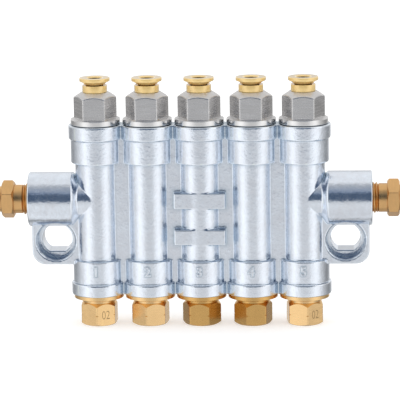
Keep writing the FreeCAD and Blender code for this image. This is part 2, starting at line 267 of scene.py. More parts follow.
GROUP_MAKERS = {"cast_grain": make_cast_grain, "tool_marks": make_tool_marks, "edge_wear": make_edge_wear}
GROUPS = {}
FINISHES = {}


def place_group(tree, name, **values):
    """Node of a shared group, which is made on first use, with this material's own values."""
    if name not in GROUPS:
        GROUPS[name] = GROUP_MAKERS[name]()
    node = add_node(tree, "Group")
    node.node_tree = GROUPS[name]
    return with_values(node, values)


def blend_colour(tree, factor, first, second):
    """Blend of two colours, each a socket or three numbers, by a factor's socket."""
    node = add_node(tree, "Mix")
    node.data_type = "RGBA"
    tree.links.new(factor, node.inputs["Factor"])
    for socket, value in ((node.inputs["A"], first), (node.inputs["B"], second)):
        if isinstance(value, bpy.types.NodeSocket):
            tree.links.new(value, socket)
        else:
            socket.default_value = (*value, 1.0)
    return node.outputs["Result"]


def spread(tree, factor, low, high):
    """Maps a noise value, which is mostly 0.3 to 0.7, to low to high."""
    node = add_node(tree, "MapRange", From_Min=0.3, From_Max=0.7, To_Min=low, To_Max=high)
    tree.links.new(factor, node.inputs["Value"])
    return node.outputs["Result"]


def new_finish(name, metallic=1.0, coat=0.0):
    """New material with its node tree and its Principled shader."""
    made = bpy.data.materials.new(name + "_finish")
    made.use_nodes = True
    shader = made.node_tree.nodes["Principled BSDF"]
    shader.inputs["Metallic"].default_value = metallic
    shader.inputs["Coat Weight"].default_value = coat
    return made, made.node_tree, shader


def relief(tree, shader, height, distance, strength=1.0):
    """Bumps the shader's normal by a height, with the distance in metres."""
    bump = add_node(tree, "Bump", Strength=strength, Distance=distance)
    tree.links.new(height, bump.inputs["Height"])
    tree.links.new(bump.outputs["Normal"], shader.inputs["Normal"])


def tint(base, factor):
    """Colour times a factor, or times one factor for each channel, and at most 1."""
    factors = (factor,) * 3 if isinstance(factor, float) else factor
    return tuple(min(1.0, channel * share) for channel, share in zip(base, factors))


# What stains leave of the zinc's red, green and blue, and what the painted shade in its corners leaves
STAINED = (0.93, 0.90, 0.89)
CORNER_SHADE_TINT = (0.42, 0.52, 0.58)


def zinc_finish(name):
    """Die-cast zinc with a soft mottle, fine pitting and painted shade in its corners."""
    base = bpy.context.scene.divider_colours.zinc
    made, tree, shader = new_finish(name)
    grain = place_group(tree, "cast_grain", Scale=430.0, Fine_Scale=1300.0)
    wear = place_group(tree, "edge_wear", Sharpness=5.0)
    # Painted shade, stored on the casting's points
    recess = add_node(tree, "Attribute")
    recess.attribute_name = "recess"
    stains = place_group(tree, "cast_grain", Scale=170.0, Fine_Scale=900.0)
    mottled = blend_colour(tree, spread(tree, grain.outputs["Mottle"], 0.0, 1.0), tint(base, 0.94),
                           tint(base, 1.04))
    stained = blend_colour(tree, spread(tree, stains.outputs["Height"], -0.3, 0.9), mottled,
                           tint(base, STAINED))
    worn = blend_colour(tree, wear.outputs["Edge"], stained, tint(base, 1.12))
    # Darkens and cools the zinc where shade is painted in
    shaded = blend_colour(tree, recess.outputs["Fac"], worn, tint(base, CORNER_SHADE_TINT))
    tree.links.new(shaded, shader.inputs["Base Color"])
    tree.links.new(spread(tree, grain.outputs["Mottle"], 0.15, 0.23), shader.inputs["Roughness"])
    relief(tree, shader, grain.outputs["Height"], 0.00026, 0.4)
    return made


def bar_finish(name, base, across=(300.0, 300.0, 9000.0), rough=(0.4, 0.5), depth=8e-7, shade=0.86,
               metallic=1.0, coat=0.0):
    """Turned or drawn metal with bright worn edges. across is how fine the tool marks are on each axis."""
    made, tree, shader = new_finish(name, metallic, coat)
    marks = place_group(tree, "tool_marks", Across_X=across[0], Across_Y=across[1], Across_Z=across[2])
    grain = place_group(tree, "cast_grain", Scale=260.0, Fine_Scale=2600.0)
    wear = place_group(tree, "edge_wear", Sharpness=4.0)
    lined = blend_colour(tree, spread(tree, marks.outputs["Marks"], 0.0, 1.0), tint(base, shade),
                         tint(base, 1.06))
    mottled = blend_colour(tree, spread(tree, grain.outputs["Mottle"], 0.0, 0.35), lined,
                           tint(base, shade * 0.9))
    worn = blend_colour(tree, wear.outputs["Edge"], mottled, tint(base, 1.2))
    tree.links.new(worn, shader.inputs["Base Color"])
    tree.links.new(spread(tree, marks.outputs["Marks"], *rough), shader.inputs["Roughness"])
    relief(tree, shader, marks.outputs["Marks"], depth, 0.6)
    return made


def rubber_finish(name, base):
    """Matt black rubber with a fine grain."""
    made, tree, shader = new_finish(name, metallic=0.0)
    grain = place_group(tree, "cast_grain", Scale=1500.0, Fine_Scale=6000.0)
    tree.links.new(blend_colour(tree, grain.outputs["Mottle"], tint(base, 0.7), tint(base, 1.5)),
                   shader.inputs["Base Color"])
    tree.links.new(spread(tree, grain.outputs["Mottle"], 0.6, 0.8), shader.inputs["Roughness"])
    relief(tree, shader, grain.outputs["Height"], 0.00004)
    return made


# Colour, tool marks and gloss of each bar finish, where they differ from bar_finish's own
UNIT_LOOK = {"across": (600.0, 600.0, 1800.0), "rough": (0.20, 0.30), "depth": 4e-7, "shade": 0.92}
DULL_LOOK = {"shade": 0.8, "metallic": 0.6}
BAR_LOOKS = {
    "fitting_steel": {"colour": "steel", "across": (160.0, 160.0, 2200.0), "rough": (0.22, 0.30),
                      "depth": 1.4e-7, "shade": 0.84},
    "faced_steel": {"colour": "steel", "tinted": 1.1, "rough": (0.45, 0.55), "depth": 6e-7},
    "flange_steel": {"rough": (0.12, 0.20), "depth": 6e-7},
    "inner_steel": {"rough": (0.2, 0.3), "depth": 1e-6},
    "collar_brass": {"across": (300.0, 300.0, 3600.0), "rough": (0.09, 0.15), "depth": 3e-7,
                     "shade": 0.98, "metallic": 0.18, "coat": 1.0},
    "unit_brass": UNIT_LOOK,
    "aged_brass": UNIT_LOOK,
    "inlet_brass": {"across": (1500.0, 500.0, 500.0), "rough": (0.28, 0.38), "depth": 4e-7, "shade": 0.94},
    "stamp_ink": {"colour": "unit_brass", "tinted": 0.4, "across": (700.0, 700.0, 2200.0), "depth": 1e-6},
    "greased_bore": {"rough": (0.35, 0.5), **DULL_LOOK},
    "seam_grime": DULL_LOOK,
}


def finish(name):
    """The finish of that name, made on first use."""
    if name not in FINISHES:
        FINISHES[name] = make_finish(name)
    return FINISHES[name]


def make_finish(name):
    colours = bpy.context.scene.divider_colours
    if name == "zinc_casting":
        return zinc_finish(name)
    if name == "seal_rubber":
        return rubber_finish(name, colours.rubber)
    look = dict(BAR_LOOKS[name])
    base = getattr(colours, look.pop("colour", name))
    return bar_finish(name, tint(base, look.pop("tinted", 1.0)), **look)


# Mesh building

def add_object(name, data):
    """Object of that data in the scene."""
    made = bpy.data.objects.new(name, data)
    bpy.context.scene.collection.objects.link(made)
    return made


def lay_mesh(name, points, faces, finish_names, sharp_angle=38.0, pick=None):
    """Mesh object, smooth except over sharp angles. pick(middle) gives the number of a face's finish."""
    mesh = bpy.data.meshes.new(name)
    mesh.from_pydata([tuple(p) for p in points], [], faces)
    work = bmesh.new()
    work.from_mesh(mesh)
    bmesh.ops.remove_doubles(work, verts=work.verts, dist=1e-7)
    bmesh.ops.recalc_face_normals(work, faces=work.faces)
    limit = math.radians(sharp_angle)
    for face in work.faces:
        face.smooth = True
        if pick:
            face.material_index = pick(face.calc_center_median())
    for edge in work.edges:
        if len(edge.link_faces) == 2:
            edge.smooth = edge.calc_face_angle(0.0) < limit
    work.to_mesh(mesh)
    work.free()
    piece = add_object(name, mesh)
    for finish_name in finish_names:
        mesh.materials.append(finish(finish_name))
    weighting = piece.modifiers.new("weighting", "WEIGHTED_NORMAL")
    weighting.keep_sharp = True
    evaluated = piece.evaluated_get(bpy.context.evaluated_depsgraph_get())
    weighted = bpy.data.meshes.new_from_object(evaluated)
    piece.modifiers.clear()
    piece.data = weighted
    weighted.name = name
    return piece


CORNER_CURVE_STEPS = 4
ROUND_STEPS = 96


def soften(outline, radius):
    """Closed outline with each corner replaced by a short curve of about that radius."""
    corners = [Vector(point) for point in outline]
    soft = []
    for index, corner in enumerate(corners):
        before = corners[index - 1] - corner
        after = corners[(index + 1) % len(corners)] - corner
        reach = min(radius, 0.45 * before.length, 0.45 * after.length)
        start = corner + before.normalized() * reach
        end = corner + after.normalized() * reach
        for step in range(CORNER_CURVE_STEPS + 1):
            share = step / CORNER_CURVE_STEPS
            soft.append(start * (1 - share) ** 2 + corner * 2 * share * (1 - share) + end * share ** 2)
    return soft


def ring_faces(rows, around, closed):
    """Quads between consecutive rings of points, and from the last to the first where closed."""
    faces = []
    last = rows if closed else rows - 1
    for row in range(last):
        base = row * around
        above = ((row + 1) % rows) * around
        for step in range(around):
            turn = (step + 1) % around
            faces.append((base + step, base + turn, above + turn, above + step))
    return faces


def upright(point, place):
    """Point of a part made along +Z, moved along the row of outlets."""
    return Vector((point[0] + place, point[1], point[2]))


def level(point, side):
    """Point of a part made along +Z, laid down along the gallery on one side."""
    return Vector((side * point[2], point[1], GALLERY_HEIGHT - side * point[0]))


def revolved(name, outline, finish_names, put, radius, pick=None):
    """Turned ring: a closed outline of (radius, height) with softened corners swept round the axis."""
    profile = soften(outline, radius)
    points = []
    for corner in profile:
        for step in range(ROUND_STEPS):
            angle = 2 * math.pi * step / ROUND_STEPS
            points.append(put((corner.x * math.cos(angle), corner.x * math.sin(angle), corner.y)))
    faces = ring_faces(len(profile), ROUND_STEPS, True)
    return lay_mesh(name, points, faces, finish_names, pick=pick)


def hex_radius(across_flats, angle, turn, crispness):
    """Distance from the axis to a hexagon in that direction. More crispness is less round corners."""
    total = 0.0
    for step in range(6):
        facing = math.cos(angle - turn - math.radians(60 * step + 30))
        if facing > 0:
            total += facing ** crispness
    return across_flats / 2 * total ** (-1 / crispness)


# Degrees from a hexagon's corner to the columns of its mesh, close together where the corner is rounded
CORNER_STEPS = (0.0, 0.45, 0.9, 1.4, 2.0, 2.8, 4.0, 6.5, 11.0, 17.0, 23.5)


HEX_SHARP_ANGLE = 24.0
# How crisp the corners of each kind of hexagon are
OUTLET_CRISPNESS = 44
UNIT_CRISPNESS = 85
INLET_CRISPNESS = 90


def hex_part(name, across_flats, turn, crispness, column, finish_names, put, pick=None):
    """Part whose column(corner radius) gives the points up one direction, from inside to inside."""
    offsets = sorted({step * sign for step in CORNER_STEPS for sign in (-1, 1)}) + [30.0]
    angles = [turn + math.radians(60 * side + offset) for side in range(6) for offset in offsets]
    columns = [(angle, column(hex_radius(across_flats, angle, turn, crispness))) for angle in angles]
    rows = len(columns[0][1])
    points = []
    for row in range(rows):
        for angle, heights in columns:
            radius, height = heights[row]
            points.append(put((radius * math.cos(angle), radius * math.sin(angle), height)))
    faces = ring_faces(rows, len(angles), True)
    return lay_mesh(name, points, faces, finish_names, HEX_SHARP_ANGLE, pick)


def settle(piece, body, slot_name, *nodes):
    """Rides a piece on its body and hides the nodes that it stands for. Its slot name is not used."""
    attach(piece, body)
    if nodes:
        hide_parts(*nodes)
    return piece


# The casting, as a distance field in millimetres with its origin on the gallery axis

def past_both(first, second):
    """Distance to where two faces meet, from the distances past each of them."""
    outside = np.hypot(np.maximum(first, 0), np.maximum(second, 0))
    return outside + np.minimum(np.maximum(first, second), 0)


def rounded_rod(radial, along, radius, low, high, edge):
    """Field of a rod with rounded ends, from the distances to and along its axis."""
    over_radius = radial - (radius - edge)
    over_end = np.abs(along - (low + high) / 2) - ((high - low) / 2 - edge)
    return past_both(over_radius, over_end) - edge


def rounded_block(offsets, halves, edge):
    """Field of a block with rounded edges, from the offsets to its middle."""
    over = [np.abs(offset) - (half - edge) for offset, half in zip(offsets, halves)]
    outside = np.sqrt(sum(np.maximum(axis, 0) ** 2 for axis in over))
    return outside + np.minimum(np.maximum.reduce(over), 0) - edge


def blended(first, second, radius):
    """Union of two fields with a fillet of about that radius where they meet."""
    share = np.clip(0.5 + 0.5 * (second - first) / radius, 0, 1)
    return second * (1 - share) + first * share - radius * share * (1 - share)


def carved(body, tool, radius):
    """Body less the tool, with a small break along the rim."""
    return -blended(-body, tool, radius)


# In millimetres: how far the pads sit above the gallery, the part of them that is flush with the
# middle barrel, the depth of the band at a pad's top that takes painted shade, and the flanges on the rings
PAD_RISE = 0.2
PAD_FLUSH = 1.6
LEDGE_BAND = 0.5
FLANGE_RADIUS = 7.9
UPPER_FLANGE = 1.8
LOWER_FLANGE = 1.2
FLANGE_EDGE = 0.1
CONE_STRETCH = 1.25


class CastingField:
    """Distance in millimetres to the casting's surface, from the sizes in the sidebar."""

    def __init__(self, sizes):
        self.size = {name: getattr(sizes, name) / MM for name in CastingSizes.__annotations__}
        self.pitch = PITCH / MM
        self.row = ROW_HALF / MM
        self.reach = BOSS_REACH / MM
        self.ring = RING_RADIUS / MM
        self.high = (BODY_HIGH.z - GALLERY_HEIGHT) / MM
        self.low = (RING_BOTTOM - GALLERY_HEIGHT) / MM

    def from_nearest_barrel(self, x):
        """Offset along the row from the axis of the nearest barrel."""
        count = len(PLACES) // 2
        return x - np.clip(np.round(x / self.pitch), -count, count) * self.pitch

    def barrels(self, x, y, z):
        """Five stepped barrels with their rings, and the web that joins them."""
        size = self.size
        edge = size["edge"]
        radial = np.hypot(self.from_nearest_barrel(x), y)
        steps = (
            (size["barrel_radius"], size["upper_barrel_end"], self.high - edge),
            (size["barrel_radius"], self.low + edge, -size["lower_barrel_end"]),
            (self.ring, self.high - size["top_ring_depth"], self.high),
            (self.ring, self.low, self.low + size["bottom_ring_depth"]),
        )
        body = rounded_rod(radial, z, size["waist_radius"], self.low, self.high, edge)
        for radius, low, high in steps:
            body = blended(body, rounded_rod(radial, z, radius, low, high, edge), edge)
        middle = (self.high + self.low) / 2
        halves = (self.row, size["web_half_depth"], (self.high - self.low) / 2)
        web = rounded_block((x, y, z - middle), halves, edge)
        return blended(body, web, size["fillet"])

    def pads(self, x, y, z):
        """Two bare pads on the front of the middle barrel."""
        size = self.size
        halves = (size["pad_width"] / 2, size["pad_front"] / 2, size["pad_height"] / 2)
        before = y + size["pad_front"] / 2
        edge = size["edge"] * 0.7
        return np.minimum(*(rounded_block((x, before, z + drop - PAD_RISE), halves, edge)
                            for drop in (0.0, size["pad_drop"])))

    # Mask of the pad tops, which are painted darker as shade
    def pad_ledges(self, x, y, z):
        """1 near the top faces of the pads, 0 elsewhere."""
        size = self.size
        across = (np.abs(x) > PAD_FLUSH) & (np.abs(x) < size["pad_width"] / 2)
        before_web = y < 0.2 - size["web_half_depth"]
        above = z - PAD_RISE - size["pad_height"] / 2
        at_top = (np.abs(above + drop) < LEDGE_BAND for drop in (0.0, size["pad_drop"]))
        return (across & before_web & np.logical_or(*at_top)).astype(float)

    def bosses(self, x, y, z):
        """Arm, cone and boss in one smooth turned profile along the gallery."""
        size = self.size
        along = np.abs(x)
        radial = np.hypot(y, z)
        inner = self.reach - size["boss_length"]
        run = size["cone_length"] * CONE_STRETCH
        share = np.clip((along - inner) / run + 1, 0, 1)
        rise = self.ring - size["arm_radius"]
        radius = size["arm_radius"] + rise * share ** 2 * (3 - 2 * share)
        slant = rise * 6 * share * (1 - share) / run
        profile = (radial - radius) / np.hypot(1, slant)
        edge = size["edge"]
        outer = past_both(profile + edge, along - (self.reach - edge)) - edge
        return np.maximum(outer, self.row - along)

    def lugs(self, x, y, z):
        """Mounting lugs, each with one large outer corner."""
        size = self.size
        edge = size["edge"] * 0.8
        low = -size["lug_drop"]
        across = np.abs(x) - (size["lug_reach"] + size["lug_inner_reach"]) / 2
        up = z - low / 2
        half_across = (size["lug_reach"] - size["lug_inner_reach"]) / 2
        radius = np.where((across > 0) & (up < 0), size["lug_corner"], edge)
        outline = past_both(np.abs(across) - half_across + radius, np.abs(up) + low / 2 + radius) - radius
        middle = (self.ring - size["lug_front"]) / 2
        over_face = np.abs(y - middle) - (self.ring + size["lug_front"]) / 2 + edge
        return past_both(outline + edge, over_face) - edge

    def lug_holes(self, x, y, z):
        """Chamfered counterbores, and the through holes with two flats."""
        size = self.size
        across = np.abs(x) - size["hole_reach"]
        up = z + size["hole_drop"]
        radial = np.hypot(across, up)
        depth = y + size["lug_front"]
        chamfer = (radial - size["seat_radius"] - size["seat_chamfer"] + np.abs(depth)) * 0.7
        seat = np.maximum(np.minimum(radial - size["seat_radius"], chamfer), depth - size["seat_depth"])
        hole = np.maximum(radial - size["hole_radius"], np.abs(up) - size["hole_half_flat"])
        return seat, hole

    def bores(self, x, y, z):
        """Ports, valve chambers and the cross gallery."""
        size = self.size
        from_axis = np.hypot(self.from_nearest_barrel(x), y)
        from_gallery = np.hypot(y, z)
        port = size["port_radius"]
        upper = np.maximum(from_axis - port, self.high - size["port_depth"] - z)
        lower = np.maximum(from_axis - port, z - (self.low + size["port_depth"]))
        ends = np.maximum(from_gallery - port, self.reach - size["end_port_depth"] - np.abs(x))
        chamber = from_axis - size["chamber_radius"]
        gallery = from_gallery - size["gallery_radius"]
        return np.minimum.reduce([chamber, upper, lower, ends, gallery])

    def with_fittings(self, x, y, z):
        """Distance to the casting or to the flanges that stand on its rings."""
        radial = np.hypot(self.from_nearest_barrel(x), y)
        above = rounded_rod(radial, z, FLANGE_RADIUS, self.high, self.high + UPPER_FLANGE, FLANGE_EDGE)
        below = rounded_rod(radial, z, FLANGE_RADIUS, self.low - LOWER_FLANGE, self.low, FLANGE_EDGE)
        return np.minimum(self(x, y, z), np.minimum(above, below))

    def __call__(self, x, y, z):
        size = self.size
        body = blended(self.barrels(x, y, z), self.bosses(x, y, z), size["edge"] * 0.25)
        body = blended(body, self.lugs(x, y, z), size["fillet"])
        body = blended(body, self.pads(x, y, z), size["edge"])
        seat, hole = self.lug_holes(x, y, z)
        body = carved(carved(body, seat, size["edge"] * 0.3), hole, size["edge"] * 0.6)
        return carved(body, self.bores(x, y, z), size["edge"] * 0.4)


SETTLING_ROUNDS = 3


def surface_of(field, low, high, cell):
    """Quads round the zero surface of a field, one point per crossed cell, moved onto the surface."""
    axes = [np.arange(start, stop + cell, cell) for start, stop in zip(low, high)]
    values = field(*np.meshgrid(*axes, indexing="ij"))
    inside = values < 0
    shape = np.array(values.shape)
    corners = [(i, j, k) for i in (0, 1) for j in (0, 1) for k in (0, 1)]

    def window(array, offset):
        """The values at one corner of every cell."""
        return array[tuple(slice(start, count - 1 + start) for start, count in zip(offset, shape))]

    filled = sum(window(inside, corner).astype(np.int8) for corner in corners)
    crossed = (filled > 0) & (filled < 8)
    numbers = -np.ones(crossed.shape, dtype=np.int64)
    cells = np.argwhere(crossed)
    numbers[crossed] = np.arange(len(cells))
    total = np.zeros((len(cells), 3))
    hits = np.zeros(len(cells))
    for first in corners:
        for axis in range(3):
            if first[axis] == 1:
                continue
            second = list(first)
            second[axis] = 1
            before = window(values, first)[crossed]
            after = window(values, tuple(second))[crossed]
            change = (before < 0) != (after < 0)
            share = before[change] / (before[change] - after[change])
            spot = np.array(first, float) + np.zeros((change.sum(), 3))
            spot[:, axis] += share
            total[change] += spot
            hits[change] += 1
    points = (cells + total / hits[:, None]) * cell + np.array([axis[0] for axis in axes])
    for _ in range(SETTLING_ROUNDS):
        points = onto_surface(field, points, cell)
    return points, np.concatenate([quads_across(inside, numbers, axis) for axis in range(3)])


def slope_of(field, points, step=0.02):
    """How fast the field rises along each axis at those points."""
    slope = np.empty_like(points)
    for axis in range(3):
        shift = np.zeros(3)
        shift[axis] = step
        ahead = field(*(points + shift).T)
        behind = field(*(points - shift).T)
        slope[:, axis] = (ahead - behind) / (2 * step)
    return slope


def onto_surface(field, points, cell):
    """Points moved down the field's slope towards zero, by half a cell at most."""
    slope = slope_of(field, points)
    square = np.maximum((slope ** 2).sum(axis=1), 0.05)
    move = -(field(*points.T) / square)[:, None] * slope
    size = np.linalg.norm(move, axis=1, keepdims=True)
    limit = cell * 0.5
    return points + move * np.minimum(1, limit / np.maximum(size, 1e-9))


def quads_across(inside, numbers, axis):
    """Faces between the four cells round each grid edge along one axis that crosses the surface."""
    others = [other for other in range(3) if other != axis]
    span = [slice(1, -1)] * 3
    ahead = list(span)
    span[axis] = slice(0, -1)
    ahead[axis] = slice(1, None)
    start = inside[tuple(span)]
    end = inside[tuple(ahead)]
    places = np.argwhere(start != end)
    flip = start[start != end]
    places[:, others] += 1
    loop = []
    for first, second in ((-1, -1), (0, -1), (0, 0), (-1, 0)):
        spot = places.copy()
        spot[:, others[0]] += first
        spot[:, others[1]] += second
        loop.append(numbers[tuple(spot.T)])
    quads = np.stack(loop, axis=1)
    turned_over = flip if axis != 1 else ~flip
    quads[~turned_over] = quads[~turned_over][:, ::-1]
    return quads


# Painted shade in corners: how far out it looks in millimetres, and what walls that near add to it
CORNER_REACH, CORNER_SHADE = 0.6, 0.5
RECESS_REACH, RECESS_SHADE = 2.4, 0.15
BETWEEN_BARRELS_SHADE = 0.3
LEDGE_SHADE = 0.45
NUMERAL_SHADE = 0.6
MOST_SHADE = 0.8


def casting_pieces(cell):
    """The casting's surface as one mesh per barrel, with seams in the middle of the webs."""
    field = CastingField(bpy.context.scene.divider_casting)
    margin = 3 * cell
    lift = np.array([0, 0, GALLERY_HEIGHT / MM])
    low = np.array(BODY_LOW) / MM - margin - lift
    high = np.array(BODY_HIGH) / MM + margin - lift
    points, quads = surface_of(field, low, high, cell)
    points[:, 1] = np.clip(points[:, 1], -field.ring, field.ring)
    normals = slope_of(field, points)
    normals /= np.maximum(np.linalg.norm(normals, axis=1, keepdims=True), 1e-9)
    facing_up = np.clip(normals[:, 2] * 2 - 1, 0, 1)
    # Painted shade along the tops of the pads
    ledge_shade = LEDGE_SHADE * field.pad_ledges(*points.T) * facing_up
    # Painted shade: the zinc is darkened in corners, between the barrels and on the pad tops
    depth = np.maximum(crowding(field, points, normals), ledge_shade)
    nearest = np.round(points[quads][:, :, 0].mean(axis=1) / field.pitch) + (len(OUTLETS) + 1) / 2
    nearest = np.clip(nearest, OUTLETS[0], OUTLETS[-1])
    for number in OUTLETS:
        used, faces = np.unique(quads[nearest == number], return_inverse=True)
        yield casting_mesh(f"casting_{number}", (points[used] + lift) * MM, faces.reshape(-1, 4),
                           normals[used], depth[used])


def crowding(field, points, normals):
    """How deep each point lies in a corner, as painted shade: 0 in the open, more where walls close in on it.
    """
    total = np.zeros(len(points))
    recess = RECESS_SHADE + BETWEEN_BARRELS_SHADE * (np.abs(points[:, 0]) < field.row)
    for reach, darkening in ((CORNER_REACH, CORNER_SHADE), (RECESS_REACH, recess)):
        clear = field.with_fittings(*(points + normals * reach).T) / reach
        total += darkening * np.clip(1 - clear, 0, 1)
    return np.clip(total * 1.05 - 0.05, 0, MOST_SHADE)


def casting_mesh(name, points, quads, normals, depth):
    """Mesh object with smooth normals and the painted corner shade of each point."""
    mesh = bpy.data.meshes.new(name)
    mesh.vertices.add(len(points))
    mesh.vertices.foreach_set("co", points.ravel())
    mesh.loops.add(len(quads) * 4)
    mesh.loops.foreach_set("vertex_index", quads.ravel().astype(np.int32))
    mesh.polygons.add(len(quads))
    mesh.polygons.foreach_set("loop_start", np.arange(0, len(quads) * 4, 4, dtype=np.int32))
    mesh.update(calc_edges=True)
    mesh.validate()
    mesh.attributes.new("recess", "FLOAT", "POINT").data.foreach_set("value", depth.astype(np.float32))
    mesh.materials.append(finish("zinc_casting"))
    mesh.polygons.foreach_set("use_smooth", np.ones(len(quads), dtype=bool))
    mesh.normals_split_custom_set_from_vertices([tuple(normal) for normal in normals])
    return add_object(name, mesh)


def text_mesh(name, text, size_up, depth, bevel, offset):
    """Mesh of a text in its own plane, centred, facing +Z."""
    curve = bpy.data.curves.new(name, "FONT")
    curve.body = text
    curve.size = size_up
    curve.align_x = "CENTER"
    curve.align_y = "CENTER"
    curve.extrude = depth
    curve.offset = offset
    curve.bevel_depth = bevel
    curve.bevel_resolution = 2
    curve.resolution_u = 6
    holder = add_object(name + "_curve", curve)
    bpy.context.view_layer.update()
    mesh = bpy.data.meshes.new_from_object(holder)
    bpy.data.objects.remove(holder)
    mesh.name = name
    return mesh


def place_mesh(mesh, finish_name):
    """Object of a flat-shaded mesh with that finish."""
    mesh.materials.clear()
    mesh.materials.append(finish(finish_name))
    for face in mesh.polygons:
        face.use_smooth = False
    return add_object(mesh.name, mesh)


NUMERAL_SIZE = 0.0041
NUMERAL_DEPTH = 0.0001
NUMERAL_BEVEL = 0.00022
NUMERAL_WIDTH = 0.88


def numeral(name, text, place, height):
    """Raised digit wrapped round the front of a barrel."""
    radius = bpy.context.scene.divider_casting.barrel_radius
    mesh = text_mesh(name, text, NUMERAL_SIZE, NUMERAL_DEPTH, NUMERAL_BEVEL, 0.0)
    for vertex in mesh.vertices:
        across, up, out = vertex.co
        angle = across * NUMERAL_WIDTH / radius
        reach = radius + out
        vertex.co = (place + reach * math.sin(angle), -reach * math.cos(angle), height + up)
    return place_mesh(mesh, "zinc_casting")


def shade_round(mesh, raised, reach=0.0005):
    """Deepens the painted shade on the casting round the foot of a raised digit."""
    count = len(mesh.vertices)
    points = np.empty(count * 3)
    mesh.vertices.foreach_get("co", points)
    points = points.reshape(-1, 3)
    corners = np.array([vertex.co for vertex in raised.data.vertices])
    near = np.all((points > corners.min(axis=0) - reach) & (points < corners.max(axis=0) + reach), axis=1)
    depth = np.empty(count, dtype=np.float32)
    mesh.attributes["recess"].data.foreach_get("value", depth)
    tree = BVHTree.FromPolygons([tuple(corner) for corner in corners],
                                [tuple(face.vertices) for face in raised.data.polygons])
    for number in np.flatnonzero(near):
        spot, _, _, distance = tree.find_nearest(Vector(points[number]), reach)
        if spot is not None:
            # Painted shadow round the digit's foot
            depth[number] = max(depth[number], NUMERAL_SHADE * (1 - distance / reach))
    mesh.attributes["recess"].data.foreach_set("value", depth)


class DIVIDER_OT_casting(bpy.types.Operator):
    """Builds the casting with its rings, webs, bosses, lugs, pads and bores"""
    bl_idname = "divider.casting"
    bl_label = "Casting"

    def execute(self, context):
        for piece in casting_pieces(context.scene.divider_casting.cell / MM):
            settle(piece, "block", "zinc_casting", "manifold_body")
        return {"FINISHED"}


class DIVIDER_OT_numerals(bpy.types.Operator):
    """Raises the plain outlet numbers on the lower barrels"""
    bl_idname = "divider.numerals"
    bl_label = "Numerals"
    aside = -0.0002
    above_middle = 0.0006

    def execute(self, context):
        size = context.scene.divider_casting
        top = GALLERY_HEIGHT - size.lower_barrel_end
        bottom = RING_BOTTOM + size.bottom_ring_depth
        for number, place in zip(OUTLETS, PLACES):
            piece = numeral(f"cast_numeral_{number}", str(number), place + self.aside,
                            (top + bottom) / 2 + self.above_middle)
            settle(piece, "block", "zinc_casting")
            shade_round(bpy.data.objects[f"casting_{number}"].data, piece)
        return {"FINISHED"}


# Room left between a thread or sleeve and its hole
CLEARANCE = 0.00005
# How far from a bore or a foot a face still takes the dark brass of painted shade
BORE_MARGIN = 0.0001


